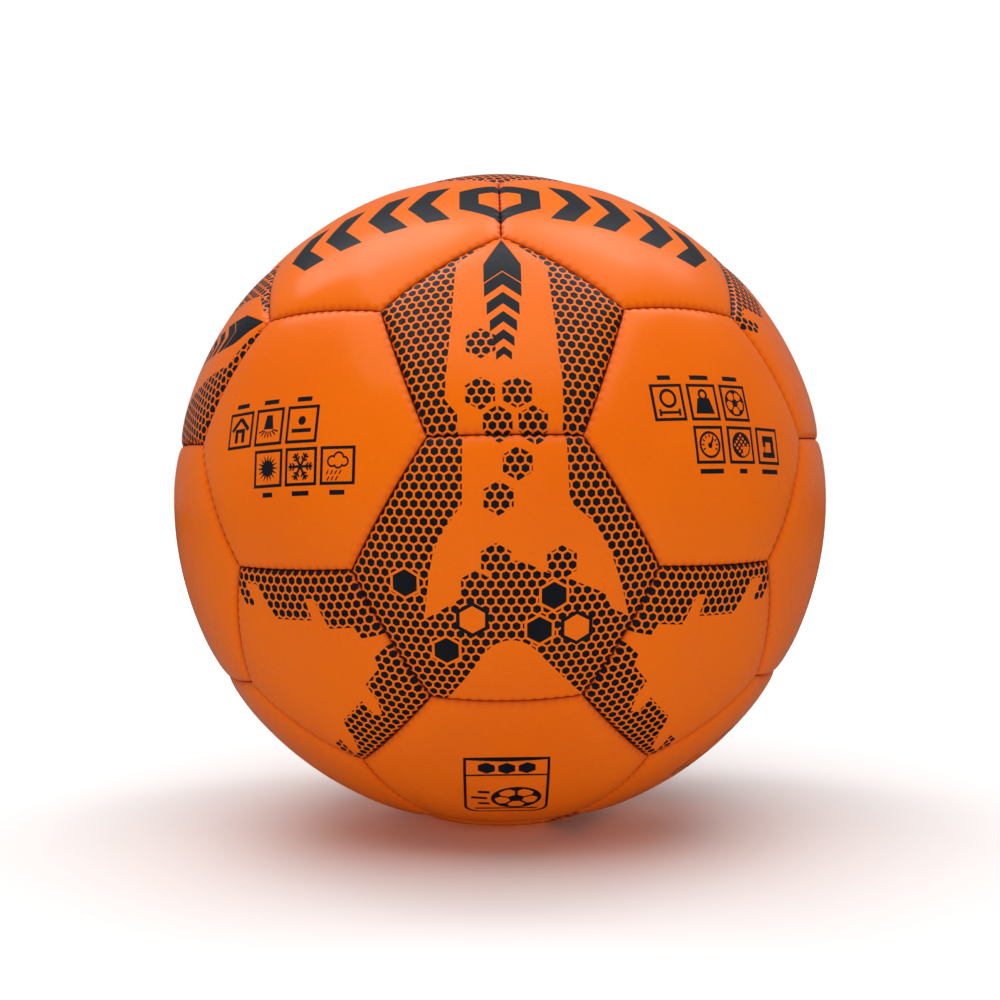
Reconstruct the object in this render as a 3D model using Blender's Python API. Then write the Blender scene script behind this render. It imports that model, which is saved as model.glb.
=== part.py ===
"""A size-3 soccer ball: thirty-two sewn panels over a bladder with a plugged needle valve.

The origin is the centre of the ball. +Z is the five-fold axis through the middles of the top
and bottom pentagons, -Y is the front, and the valve sits in the hexagon at the back.
"""

import math

import bmesh
import bpy
from mathutils import Matrix, Vector

MM = 0.001

# Radii from the centre of the ball, in millimetres.
CROWN = 94.0
LINING = 91.4
FLANGE_END = 89.2
THREAD = 90.9
BLADDER_OUT = 88.7
BLADDER_IN = 87.8

# Half of the gap between two neighbouring panels, and the depth of a turned-in edge.
HALF_GAP = 0.15
FLANGE = 2.2

# A panel's edge, from the crown round to the lining: (radius, distance from the seam's plane).
EDGE_PROFILE = (
    (93.5, 2.2),
    (92.9, 0.65),
    (91.9, HALF_GAP),
    (THREAD, 0.95),
    (90.1, HALF_GAP),
    (FLANGE_END, HALF_GAP),
    (FLANGE_END, FLANGE),
    (LINING, FLANGE + 0.3),
)
# Where the rings of the domes lie, as parts of the way from the panel's middle to its seams.
CROWN_RINGS = (0.33, 0.67)
LINING_RINGS = (0.5,)
VALVE_LINING_RINGS = (0.33, 0.67)
PIECES_PER_SIDE = 3

# Half the thickness of the sewing thread, and the gap where two runs of it meet.
THREAD_HALF = 0.4
THREAD_STOP = 1.2

# The valve, along its axis from the centre of the ball and out from that axis.
VALVE_HOLE = 4.8
STEM = 4.5
STEM_INNER_END = 80.0
STEM_OUTER_END = 93.5
BORE = 2.8
SEAT = 3.6
SEAT_FLOOR = 92.3
VALVE_FLANGE_IN = 89.1
VALVE_FLANGE_OUT = 90.1
VALVE_FLANGE_RADIUS = 14.0
CORE_SHANK = 2.5
CORE_HEAD = 3.3
CORE_HEAD_FLOOR = 92.6
CORE_TOP = 93.4
CORE_INNER_END = 79.0
NEEDLE_HOLE = 0.7
NEEDLE_DEPTH = 11.0
PATCH_IN = 90.4
PATCH_OUT = 90.9
PATCH_RADIUS = 20.0
CLEAR_OF_STEM = 4.9
ROUND_STEPS = 24

# Base colours, linear RGB.
ORANGE = (0.83, 0.21, 0.02)
THREAD_GREY = (0.05, 0.05, 0.055)
LATEX = (0.03, 0.03, 0.032)
VALVE_RUBBER = (0.02, 0.02, 0.022)
CORE_RUBBER = (0.025, 0.025, 0.027)
CLOTH = (0.72, 0.70, 0.64)


def clear_scene():
    for obj in list(bpy.data.objects):
        bpy.data.objects.remove(obj, do_unlink=True)


def new_object(name, bm, colour, roughness):
    """Welds, closes and places a bmesh drawn in millimetres, under a material of its own."""
    bmesh.ops.remove_doubles(bm, verts=bm.verts, dist=0.001)
    bmesh.ops.recalc_face_normals(bm, faces=bm.faces)
    bmesh.ops.scale(bm, vec=(MM, MM, MM), verts=bm.verts)
    mesh = bpy.data.meshes.new(name)
    bm.to_mesh(mesh)
    bm.free()
    obj = bpy.data.objects.new(name, mesh)
    bpy.context.scene.collection.objects.link(obj)
    material = bpy.data.materials.new(name)
    material.use_nodes = True
    shader = material.node_tree.nodes["Principled BSDF"]
    shader.inputs["Base Color"].default_value = (*colour, 1.0)
    shader.inputs["Roughness"].default_value = roughness
    mesh.materials.append(material)
    return obj


def smooth(obj, degrees):
    """Shades the faces smooth and keeps every edge sharper than the angle crisp."""
    for face in obj.data.polygons:
        face.use_smooth = True
    obj.data.set_sharp_from_angle(angle=math.radians(degrees))


# The seam pattern


def seam_pattern():
    """A truncated icosahedron standing on a pentagon: each corner of an icosahedron cut off."""
    bm = bmesh.new()
    bmesh.ops.create_icosphere(bm, subdivisions=1, radius=1.0)
    bmesh.ops.bevel(
        bm,
        geom=list(bm.verts),
        offset=100.0 / 3.0,
        offset_type="PERCENT",
        affect="VERTICES",
        segments=1,
    )
    bmesh.ops.rotate(bm, matrix=Matrix.Rotation(math.radians(-90), 3, "Z"), verts=bm.verts)
    for vert in bm.verts:
        vert.co.normalize()
    bm.normal_update()
    bm.verts.ensure_lookup_table()
    bm.faces.ensure_lookup_table()
    return bm


def middle(face):
    return face.calc_center_median().normalized()


def place_order(face):
    """Sorts panels from the top down and, in each row, round from the front."""
    at = middle(face)
    turn = math.atan2(at.x, -at.y) % (2 * math.pi)
    if turn > 2 * math.pi - 0.01:
        turn = 0.0
    return (-round(at.z, 3), round(turn, 3))


def inward(edge, face):
    """The unit normal of the plane of a seam, towards the panel's side of it."""
    a, b = (vert.co for vert in edge.verts)
    normal = a.cross(b).normalized()
    return normal if normal.dot(middle(face)) > 0 else -normal


def corner_point(one, other, near, radius, depth):
    """The point at a radius that lies as deep behind both seam planes, nearest a direction."""
    base = (one + other) * (depth / (1.0 + one.dot(other)))
    along = one.cross(other).normalized()
    if along.dot(near) < 0:
        along = -along
    return base + along * math.sqrt(radius**2 - base.length_squared)


def beside_seam(point, normal, radius, depth):
    """Moves a point to a depth behind a seam's plane, and on to a radius."""
    flat = point - normal * point.dot(normal)
    return normal * depth + flat.normalized() * math.sqrt(radius**2 - depth**2)


# The panels


def sides_of(face):
    """Each seam of a panel in order, as (corner, next corner, inward normal)."""
    sides = []
    for loop in face.loops:
        start = loop.vert.co.copy()
        end = loop.link_loop_next.vert.co.copy()
        sides.append((start, end, inward(loop.edge, face)))
    return sides


def ring(sides, radius, depth):
    """One ring of points round a panel, PIECES_PER_SIDE to each seam."""
    corners = []
    for index, (start, _, normal) in enumerate(sides):
        corners.append(corner_point(sides[index - 1][2], normal, start, radius, depth))
    points = []
    for index, (_, _, normal) in enumerate(sides):
        here = corners[index]
        there = corners[(index + 1) % len(corners)]
        for step in range(PIECES_PER_SIDE):
            between = here.lerp(there, step / PIECES_PER_SIDE)
            points.append(beside_seam(between, normal, radius, depth) if step else here)
    return points


def join_rings(bm, rings):
    for first, second in zip(rings, rings[1:]):
        count = len(first)
        for index in range(count):
            after = (index + 1) % count
            bm.faces.new((first[index], first[after], second[after], second[index]))


def close_ring(bm, verts, point):
    """Fans the last ring in to the middle of the panel."""
    hub = bm.verts.new(point)
    for index, vert in enumerate(verts):
        bm.faces.new((vert, verts[(index + 1) % len(verts)], hub))


def panel_mesh(face, lining_rings):
    """One cover panel: a puffed crown, edges turned in along each seam, and the lining."""
    sides = sides_of(face)
    centre = middle(face)
    reach = centre.dot(sides[0][2])
    stations = []
    for part in CROWN_RINGS:
        stations.append((CROWN - 0.05 * part, (1.0 - part) * CROWN * reach))
    stations.extend(EDGE_PROFILE)
    for part in reversed(lining_rings):
        stations.append((LINING, (1.0 - part) * LINING * reach))
    bm = bmesh.new()
    rings = []
    for radius, depth in stations:
        rings.append([bm.verts.new(point) for point in ring(sides, radius, depth)])
    join_rings(bm, rings)
    close_ring(bm, rings[0], centre * CROWN)
    close_ring(bm, rings[-1], centre * LINING)
    return bm


def add_panels(pattern):
    """Makes the thirty-two panels and returns the one that the valve comes through."""
    counts = {5: 0, 6: 0}
    kinds = {5: "pentagon", 6: "hexagon"}
    back = max((f for f in pattern.faces if len(f.verts) == 6), key=lambda f: middle(f).y)
    valve_panel = None
    for face in sorted(pattern.faces, key=place_order):
        sides = len(face.verts)
        counts[sides] += 1
        rings = VALVE_LINING_RINGS if face == back else LINING_RINGS
        bm = panel_mesh(face, rings)
        name = f"panel_{kinds[sides]}_{counts[sides]:02d}"
        panel = new_object(name, bm, ORANGE, 0.3)
        if face == back:
            valve_panel = panel
        smooth(panel, 50)
    return valve_panel, middle(back)


# The sewing thread


def third_seam(vert, one, other):
    return next(edge for edge in vert.link_edges if edge not in (one, other))


def thread_corner(edge, face, vert, network, radius, depth):
    """Where the side of a thread that faces a panel meets the next thread round a corner."""
    shared = next(e for e in vert.link_edges if e != edge and e in face.edges)
    mine = inward(edge, face)
    if shared in network:
        return corner_point(mine, inward(shared, face), vert.co, radius, depth)
    last = third_seam(vert, edge, shared)
    if last not in network:
        return None
    beyond = next(f for f in shared.link_faces if f != face)
    return corner_point(mine, inward(last, beyond), vert.co, radius, depth)


def thread_stations(edge, network):
    """The places along a seam, as (part of the way, corner there or None)."""
    length = edge.verts[0].co.angle(edge.verts[1].co) * THREAD
    places = [(step / PIECES_PER_SIDE, None) for step in range(1, PIECES_PER_SIDE)]
    for end, vert in enumerate(edge.verts):
        joined = sum(1 for e in vert.link_edges if e in network) > 1
        stop = THREAD_STOP / length
        place = (float(end), vert) if joined else (abs(end - stop), None)
        places.append(place)
    return sorted(places, key=lambda place: place[0])


def thread_section(edge, network, part, vert):
    """The four corners of the thread's section at one place on a seam."""
    start, end = (v.co for v in edge.verts)
    at = start.slerp(end, part)
    section = [at * (THREAD + THREAD_HALF)]
    for index, face in enumerate(edge.link_faces):
        point = None
        if vert is not None:
            point = thread_corner(edge, face, vert, network, THREAD, THREAD_HALF)
        if point is None:
            point = beside_seam(at, inward(edge, face), THREAD, THREAD_HALF)
        section.append(point)
        if index == 0:
            section.append(at * (THREAD - THREAD_HALF))
    return section


def thread_mesh(network):
    """One connected run of thread along a set of seams."""
    bm = bmesh.new()
    for edge in network:
        rings = []
        stations = thread_stations(edge, network)
        for part, vert in stations:
            section = thread_section(edge, network, part, vert)
            rings.append([bm.verts.new(point) for point in section])
        join_rings(bm, rings)
        if stations[0][0] > 0.0:
            bm.faces.new(rings[0])
        if stations[-1][0] < 1.0:
            bm.faces.new(rings[-1])
    return bm


def add_threads(pattern):
    """The two halves are sewn first, then a closing seam joins them round the middle."""
    networks = {"first_half": set(), "second_half": set(), "closing": set()}
    for edge in pattern.edges:
        upper = sum(1 for face in edge.link_faces if middle(face).z > 0)
        key = ("second_half", "closing", "first_half")[upper]
        networks[key].add(edge)
    for key, network in networks.items():
        ordered = sorted(network, key=lambda edge: edge.index)
        bm = thread_mesh(ordered)
        smooth(new_object(f"seam_thread_{key}", bm, THREAD_GREY, 0.7), 60)


# The bladder and the valve


def lathe(profile, axis):
    """Spins a closed outline, given as (out from the axis, along the axis), into a ring."""
    bm = bmesh.new()
    turn = Vector((0.0, 0.0, 1.0)).rotation_difference(axis).to_matrix()
    verts = [bm.verts.new((out, 0.0, along)) for out, along in profile]
    edges = [bm.edges.new(pair) for pair in zip(verts, verts[1:])]
    if profile[0][0] > 0.0:
        edges.append(bm.edges.new((verts[-1], verts[0])))
    bmesh.ops.spin(
        bm,
        geom=verts + edges,
        cent=(0.0, 0.0, 0.0),
        axis=(0.0, 0.0, 1.0),
        angle=math.tau,
        steps=ROUND_STEPS,
        use_merge=True,
    )
    bmesh.ops.remove_doubles(bm, verts=bm.verts, dist=0.001)
    bmesh.ops.rotate(bm, matrix=turn, verts=bm.verts)
    return bm


def on_sphere(radius, out):
    return (out, math.sqrt(radius**2 - out**2))


def add_bladder(axis):
    """A hollow ball, open where the stem of the valve goes in."""
    mouth = math.asin(CLEAR_OF_STEM / BLADDER_OUT)
    rows = 14
    angles = [math.pi + (mouth - math.pi) * row / rows for row in range(rows + 1)]
    outside = [(BLADDER_OUT * math.sin(a), BLADDER_OUT * math.cos(a)) for a in angles]
    inside = [(BLADDER_IN * math.sin(a), BLADDER_IN * math.cos(a)) for a in angles]
    outside[0] = (0.0, -BLADDER_OUT)
    inside[0] = (0.0, -BLADDER_IN)
    bm = lathe(outside + inside[::-1], axis)
    smooth(new_object("bladder", bm, LATEX, 0.5), 50)


def add_valve_body(axis):
    """The rubber housing: a flange on the bladder, a stem, and a bore with a seat at its mouth."""
    outs = (STEM, 9.0, VALVE_FLANGE_RADIUS)
    profile = [(BORE, STEM_INNER_END), (STEM, STEM_INNER_END)]
    profile += [on_sphere(VALVE_FLANGE_IN, out) for out in outs]
    profile += [on_sphere(VALVE_FLANGE_OUT, out) for out in reversed(outs)]
    profile += [
        (STEM, STEM_OUTER_END),
        (SEAT, STEM_OUTER_END),
        (SEAT, SEAT_FLOOR),
        (BORE, SEAT_FLOOR),
    ]
    smooth(new_object("valve_body", lathe(profile, axis), VALVE_RUBBER, 0.55), 40)


def add_valve_core(axis):
    """The plug that a pump needle goes through. It pulls out along the valve's axis."""
    profile = [
        (0.0, CORE_INNER_END),
        (CORE_SHANK - 0.6, CORE_INNER_END),
        (CORE_SHANK, CORE_INNER_END + 1.2),
        (CORE_SHANK, CORE_HEAD_FLOOR),
        (CORE_HEAD, CORE_HEAD_FLOOR),
        (CORE_HEAD, CORE_TOP - 0.2),
        (CORE_HEAD - 0.3, CORE_TOP),
        (NEEDLE_HOLE, CORE_TOP),
        (NEEDLE_HOLE, CORE_TOP - NEEDLE_DEPTH),
        (0.0, CORE_TOP - NEEDLE_DEPTH),
    ]
    core = new_object("valve_core", lathe(profile, axis), CORE_RUBBER, 0.5)
    core.data.transform(Matrix.Translation(axis * (-SEAT_FLOOR * MM)))
    core.location = axis * (SEAT_FLOOR * MM)
    smooth(core, 40)


def add_valve_patch(axis):
    """The round of cloth that backs the cover where the valve comes through."""
    outs = (CLEAR_OF_STEM, 12.5, PATCH_RADIUS)
    profile = [on_sphere(PATCH_IN, out) for out in outs]
    profile += [on_sphere(PATCH_OUT, out) for out in reversed(outs)]
    smooth(new_object("valve_patch", lathe(profile, axis), CLOTH, 0.9), 40)


def cut_valve_hole(panel, axis):
    """Cuts the round hole for the stem through the panel."""
    bm = bmesh.new()
    bmesh.ops.create_cone(
        bm,
        cap_ends=True,
        segments=ROUND_STEPS,
        radius1=VALVE_HOLE,
        radius2=VALVE_HOLE,
        depth=12.0,
    )
    turn = Vector((0.0, 0.0, 1.0)).rotation_difference(axis).to_matrix()
    bmesh.ops.rotate(bm, matrix=turn, verts=bm.verts)
    bmesh.ops.translate(bm, vec=axis * LINING, verts=bm.verts)
    cutter = new_object("valve_hole_cutter", bm, CLOTH, 0.9)
    cutter.hide_render = True
    cutter.display_type = "WIRE"
    cut = panel.modifiers.new("valve_hole", "BOOLEAN")
    cut.operation = "DIFFERENCE"
    cut.solver = "EXACT"
    cut.object = cutter


def main():
    clear_scene()
    pattern = seam_pattern()
    valve_panel, axis = add_panels(pattern)
    add_threads(pattern)
    pattern.free()
    add_bladder(axis)
    add_valve_body(axis)
    add_valve_core(axis)
    add_valve_patch(axis)
    cut_valve_hole(valve_panel, axis)


main()
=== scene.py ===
"""Looks for a 32-panel soccer ball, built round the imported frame.

Each panel is a stitched pad of glossy orange cover with rolled edges. Its dark print is cut into the
mesh, so every printed shape has a true edge. Lengths are in millimetres until a mesh is made.
"""

import math
from itertools import combinations, permutations
from typing import NamedTuple

import bpy
import numpy as np
from mathutils import Euler, Matrix, Vector
from mathutils.geometry import delaunay_2d_cdt


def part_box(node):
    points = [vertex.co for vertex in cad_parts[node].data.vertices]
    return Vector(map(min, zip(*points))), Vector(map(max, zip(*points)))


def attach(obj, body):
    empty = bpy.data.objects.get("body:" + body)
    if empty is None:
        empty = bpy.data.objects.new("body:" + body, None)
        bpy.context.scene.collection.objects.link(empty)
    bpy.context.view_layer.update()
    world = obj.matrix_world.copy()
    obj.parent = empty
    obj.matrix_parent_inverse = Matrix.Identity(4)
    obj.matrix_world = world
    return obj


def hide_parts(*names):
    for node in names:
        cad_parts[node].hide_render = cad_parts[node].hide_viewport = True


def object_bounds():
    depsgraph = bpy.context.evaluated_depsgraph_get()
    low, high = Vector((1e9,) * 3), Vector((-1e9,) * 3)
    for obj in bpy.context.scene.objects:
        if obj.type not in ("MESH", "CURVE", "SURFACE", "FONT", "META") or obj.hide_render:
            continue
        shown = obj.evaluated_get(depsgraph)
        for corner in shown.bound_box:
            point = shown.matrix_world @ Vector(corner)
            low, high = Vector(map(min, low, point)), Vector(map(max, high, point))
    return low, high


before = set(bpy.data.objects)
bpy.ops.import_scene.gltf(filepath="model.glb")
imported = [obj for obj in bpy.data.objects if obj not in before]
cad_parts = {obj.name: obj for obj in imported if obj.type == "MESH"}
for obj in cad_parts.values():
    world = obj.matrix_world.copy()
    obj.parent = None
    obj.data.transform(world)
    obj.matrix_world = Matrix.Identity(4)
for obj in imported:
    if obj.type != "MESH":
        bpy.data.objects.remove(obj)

cad_low, cad_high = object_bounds()

MM = 0.001
RADIUS = (cad_high.z - cad_low.z) / 2 / MM

# Neighbouring pentagons' middles, and the ends of one seam, are closer than these on a unit ball.
NEIGHBOUR = 1.1
SEAM_ANGLE = 0.45

# Cover panels: half the gap at a seam, how deep the edges roll in and how far the pad puffs.
HALF_GAP = 0.08
EDGE_DEPTH = 0.6
EDGE_WIDTH = 1.5
CORNER_POWER = 4
SHOULDER_DEPTH = 0.3
SHOULDER_WIDTH = 4.5
PUFF_DEPTH = 0.6
PUFF_WIDTH = 13.0
SOFT_POWER = 3
SOFT_MOST = 1.05

# Stitches: how many to a side, how far each pulls the cover in, and how far the painted seam shade
# reaches.
STITCHES = 14
PULL_DEPTH = 0.28
PULL_REACH = 1.1
PAINTED_SHADE_REACH = 0.75
PAINTED_STITCH_SHADE = 0.65

# Rows of skin points along each seam: (depth behind the gap, points to a side).
SKIN_ROWS = ((0.05, 84), (0.18, 84), (0.4, 84), (0.75, 56), (1.2, 42), (1.9, 28), (2.8, 18), (4.2, 12))
OUTLINE_STEPS = 84
SKIN_PITCH = 3.2
SKIN_MARGIN = 5.5
SKIN_REACH = 45.0
SLOPE_STEP = 0.02

# Loose skin points keep clear of the print's edges, by more in the plain middle of a panel.
CLOSEST = 0.1
PLAIN_DEPTH = 3.5
PLAIN_CLOSEST = 0.7

# The hidden side of a panel's edge: (radius, distance from the seam's plane). Cloth starts at HEM.
WALL = ((91.2, 0.55), (90.9, 0.9), (90.4, 0.5), (90.1, 0.15), (89.2, 0.15), (89.2, 2.2), (90.4, 2.5))
HEM = 5
LINING = 91.4
LINING_DEPTHS = (2.6, 8.0, 15.0, 22.0)
WALL_STEPS = 8

# The printed mesh of hexagonal dots.
DOT_PITCH = 2.45
DOT_ROW = 2.12
DOT_HALF = 0.95
DOT_REACH = 75.0
FLATS = math.sqrt(0.75)

# The valve's hole in the cover, its rounded rim, and the rings of skin points round it.
HOLE = 4.8
HOLE_STEPS = 48
RIM_DEPTH = 0.3
RIM_WIDTH = 0.6
RIM_CLEAR = 0.3
HOLE_RINGS = (0.08, 0.2, 0.4, 0.7)

# The sewing thread: its radius, its lowest level and its rise at each stitch.
THREAD_RADIUS = 0.24
THREAD_LEVEL = 91.1
THREAD_RISE = 0.95
STEPS_PER_STITCH = 8

# The bladder's walls and its mouth.
BLADDER_OUT = 88.7
BLADDER_IN = 87.8
MOUTH = 4.9

ORANGE, INK, CLOTH = 0, 1, 2


# The ball's layout


def pentagon_directions():
    """The twelve middles of the pentagons: top, upper ring, lower ring and bottom."""
    lift = 1 / math.sqrt(5)
    reach = 2 / math.sqrt(5)
    found = [Vector((0, 0, 1))]
    for height, start in ((lift, 0), (-lift, 36)):
        for degrees in range(start, 360, 72):
            turn = math.radians(degrees)
            found.append(Vector((reach * math.sin(turn), -reach * math.cos(turn), height)))
    found.append(Vector((0, 0, -1)))
    return found


def seam_corners(pentagons):
    """The sixty points where three seams meet."""
    near = [pair for pair in permutations(pentagons, 2) if (pair[0] - pair[1]).length < NEIGHBOUR]
    return [(2 * one + other).normalized() for one, other in near]


def chart_axes(out):
    """Rows right, up and out for a flat chart of the ball round one direction."""
    top = Vector((0, 0, 1)) if abs(out.z) < 0.99 else Vector((0, 1, 0))
    up = (top - out * top.dot(out)).normalized()
    return np.array((up.cross(out), up, out))


def fold(points):
    """Chart points, in millimetres along the ball, to unit directions in the chart's axes."""
    points = np.asarray(points, float)
    length = np.maximum(np.linalg.norm(points, axis=1), 1e-9)
    angle = length / RADIUS
    flat = points * (np.sin(angle) / length)[:, None]
    return np.column_stack((flat, np.cos(angle)))


def unfold(directions):
    """Unit directions in a chart's axes to points of the chart."""
    length = np.maximum(np.linalg.norm(directions[:, :2], axis=1), 1e-9)
    angle = np.arccos(np.clip(directions[:, 2], -1, 1))
    return directions[:, :2] * (RADIUS * angle / length)[:, None]


def unit(vectors):
    return vectors / np.linalg.norm(vectors, axis=-1, keepdims=True)


def pairs(points):
    return [tuple(point) for point in points]


def honeycomb(pitch, height, reach):
    """Chart points in rows half a step apart, out to a distance from the middle."""
    rows, columns = (range(-int(reach / step) - 1, int(reach / step) + 2) for step in (height, pitch))
    return np.array([((at + row % 2 / 2) * pitch, row * height) for row in rows for at in columns])


class Panel:
    """One panel's seams, in its own axes: x right, y up and z out through its middle."""

    def __init__(self, name, out, corners):
        self.name = name
        self.axes = chart_axes(out)
        sides = 5 if "pentagon" in name else 6
        near = sorted(corners, key=lambda corner: -corner.dot(out))[:sides]
        local = np.array(near) @ self.axes.T
        self.corners = local[np.argsort(np.arctan2(local[:, 1], local[:, 0]))]
        following = np.roll(self.corners, -1, axis=0)
        self.normals = unit(np.cross(self.corners, following))
        self.middles = unit(self.corners + following)
        self.along = np.cross(self.normals, self.middles)
        self.side = RADIUS * math.acos(self.corners[0] @ following[0])

    def depth(self, directions):
        """How far each direction lies behind each seam."""
        return RADIUS * np.arcsin(np.clip(directions @ self.normals.T, -1, 1))

    def place(self, directions):
        """How far each direction lies along each seam, from the seam's middle."""
        return RADIUS * np.arctan2(directions @ self.along.T, directions @ self.middles.T)

    def ring(self, radius, depth, count):
        """Directions round the panel at one depth behind the seams' planes, count to a side."""
        level = depth / radius
        before = np.roll(self.normals, 1, axis=0)
        blend = 1 + (before * self.normals).sum(1)
        base = (before + self.normals) * (level / blend)[:, None]
        edge = unit(np.cross(before, self.normals))
        edge *= np.sign((edge * self.corners).sum(1))[:, None]
        corners = base + edge * np.sqrt(1 - (base**2).sum(1))[:, None]
        found = []
        for here, there, normal in zip(corners, np.roll(corners, -1, axis=0), self.normals):
            part = np.arange(count)[:, None] / count
            between = here * (1 - part) + there * part
            flat = unit(between - (between @ normal)[:, None] * normal)
            beside = normal * level + flat * math.sqrt(1 - level**2)
            beside[0] = here
            found.append(beside)
        return np.concatenate(found)

    def round_place(self, directions):
        """Where each direction lies round the panel: the number of its side plus the part along it."""
        side = np.argmin(self.depth(directions), axis=1)
        place = self.place(directions)[np.arange(len(side)), side]
        part = np.clip(place / self.side + 0.5, 0, 1)
        found = (side + part) % len(self.normals)
        found[found > len(self.normals) - 1e-3] = 0.0
        return found

    def stitch(self, directions):
        """How near each direction is to a stitch of each side, from 0 to 1."""
        turns = self.place(directions) * (math.tau * STITCHES / self.side)
        return (0.5 - 0.5 * np.cos(turns)) ** 2

    def painted_seam_shade(self, directions):
        """Painted shade: 1 at the seam and fading inwards, with a longer reach at each stitch."""
        reach = PAINTED_SHADE_REACH + PAINTED_STITCH_SHADE * self.stitch(directions)
        return np.exp(-self.depth(directions) / reach).max(1)

    def drop(self, directions, hole):
        """How far the cover lies under the full radius: rolled edges, a puffed pad and the stitches."""
        depth = self.depth(directions) - HALF_GAP

        def nearness(width, power, most):
            near = np.clip(1 - depth / width, 0, None)
            return np.minimum((near**power).sum(1) ** (1 / power), most)

        roll = nearness(EDGE_WIDTH, CORNER_POWER, 1)
        rolled = EDGE_DEPTH * (1 - np.sqrt(1 - roll**2))
        shoulder = SHOULDER_DEPTH * nearness(SHOULDER_WIDTH, SOFT_POWER, SOFT_MOST) ** 2
        puff = PUFF_DEPTH * nearness(PUFF_WIDTH, SOFT_POWER, SOFT_MOST) ** 2
        pull = PULL_DEPTH * (self.stitch(directions) * np.exp(-((depth / PULL_REACH) ** 2))).sum(1)
        total = rolled + shoulder + puff + pull
        if hole:
            out = RADIUS * np.arccos(np.clip(directions[:, 2], -1, 1)) - HOLE
            total += RIM_DEPTH * (1 - np.sqrt(1 - np.clip(1 - out / RIM_WIDTH, 0, 1) ** 2))
        return total

    def surface(self, points, hole):
        """Chart points to places on the cover, in the panel's axes."""
        directions = fold(points)
        return directions * (RADIUS - self.drop(directions, hole))[:, None]


# Flat shapes for the print. A layer is a kind, which is ink, clear or a mesh of dots, and an outline.


def polar(out, turn, x=0.0, y=0.0):
    """The point at a distance and an angle, in radians, from another."""
    return x + out * math.cos(turn), y + out * math.sin(turn)


def turned(across, along, degrees, x=0.0, y=0.0):
    """Places turned round the middle, then shifted."""
    cos, sin = math.cos(math.radians(degrees)), math.sin(math.radians(degrees))
    return x + cos * across - sin * along, y + sin * across + cos * along


def box(left, bottom, right, top):
    return [(left, bottom), (right, bottom), (right, top), (left, top)]


def round_shape(x, y, radius, sides, first=90.0):
    """A regular polygon, with its first corner at an angle in degrees."""
    return [polar(radius, math.radians(first + 360 * step / sides), x, y) for step in range(sides)]


def arc(x, y, radius, first, last, steps):
    turns = [math.radians(first + (last - first) * step / steps) for step in range(steps + 1)]
    return [polar(radius, turn, x, y) for turn in turns]


def stroke(start, end, width):
    """A straight bar from one point to another."""
    along = Vector((end[0] - start[0], end[1] - start[1]))
    aside = Vector((-along.y, along.x)).normalized() * width / 2
    ends = ((start, 1), (start, -1), (end, -1), (end, 1))
    return [(point[0] + way * aside.x, point[1] + way * aside.y) for point, way in ends]


def ink(*outlines):
    return [("ink", outline) for outline in outlines]


def clear(*outlines):
    return [("clear", outline) for outline in outlines]


def ring(x, y, outer, inner, sides):
    """A printed ring, clear inside."""
    return ink(round_shape(x, y, outer, sides)) + clear(round_shape(x, y, inner, sides))


def strokes(points, width):
    """Bars along a line of points."""
    return ink(*(stroke(start, end, width) for start, end in zip(points, points[1:])))


def changed(layers, point, dots=None):
    """Layers with their points, and their meshes of dots, carried by functions."""
    found = []
    for kind, outline in layers:
        kind = dots(kind) if isinstance(kind, Dots) else kind
        found.append((kind, [point(*place) for place in outline]))
    return found


def moved(layers, x, y, turn=0.0):
    """Layers turned by an angle in degrees, then shifted."""

    def point(across, along):
        return turned(across, along, turn, x, y)

    return changed(layers, point, lambda dots: Dots(*point(dots.x, dots.y), dots.turn + turn))


def mirrored(layers):
    """Layers seen in a mirror, left to right."""
    return changed(layers, lambda x, y: (-x, y), lambda dots: Dots(-dots.x, dots.y, -dots.turn))


class Dots(NamedTuple):
    """A honeycomb of dots: one dot's middle, and the angle of its rows in degrees."""

    x: float
    y: float
    turn: float = 0.0

    def covers(self, points):
        """Which points lie on a dot."""
        x, y = turned(points[:, 0] - self.x, points[:, 1] - self.y, -self.turn)
        found = np.zeros(len(x), bool)
        for lift in (0, 1):
            row = np.floor(y / DOT_ROW) + lift
            away_y = np.abs(y - row * DOT_ROW)
            start = (row % 2) * DOT_PITCH / 2
            away_x = np.abs(x - start - np.round((x - start) / DOT_PITCH) * DOT_PITCH)
            found |= np.maximum(away_x, away_x / 2 + away_y * FLATS) <= DOT_HALF
        return found

    def outlines(self):
        """Every dot within reach of the chart's middle, as an array of dots, corners and x, y."""
        corner = np.array(round_shape(0, 0, DOT_HALF / FLATS, 6))
        x, y = np.moveaxis(corner + honeycomb(DOT_PITCH, DOT_ROW, DOT_REACH)[:, None], -1, 0)
        return np.stack(turned(x, y, self.turn, self.x, self.y), axis=-1)


def inside(points, outline):
    """Which points lie in a closed outline, by the edges crossed on the way out."""
    x, y = points[:, 0], points[:, 1]
    found = np.zeros(len(points), bool)
    ends = list(outline[1:]) + [outline[0]]
    for (x0, y0), (x1, y1) in zip(outline, ends):
        if y0 != y1:
            crosses = (y0 > y) != (y1 > y)
            found ^= crosses & (x < (x1 - x0) * (y - y0) / (y1 - y0) + x0)
    return found


def top_layer(points, layers):
    """The number of the last layer over each point, or -1 where there is none."""
    found = np.full(len(points), -1)
    for number, (_, outline) in enumerate(layers):
        found[inside(points, outline)] = number
    return found


def is_ink(points, layers):
    """Where the print is dark: later layers cover earlier ones."""
    top = top_layer(points, layers)
    dark = np.zeros(len(points), bool)
    for number, (kind, _) in enumerate(layers):
        chosen = top == number
        dark[chosen] = kind.covers(points[chosen]) if isinstance(kind, Dots) else kind == "ink"
    return dark


# The prints

EVERYWHERE = box(-60, -60, 60, 60)
CELL = 4.15


def cells(dots, places):
    """Hexagonal cells of dots."""
    return [(dots, round_shape(x, y, CELL, 6)) for x, y in places]


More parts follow.
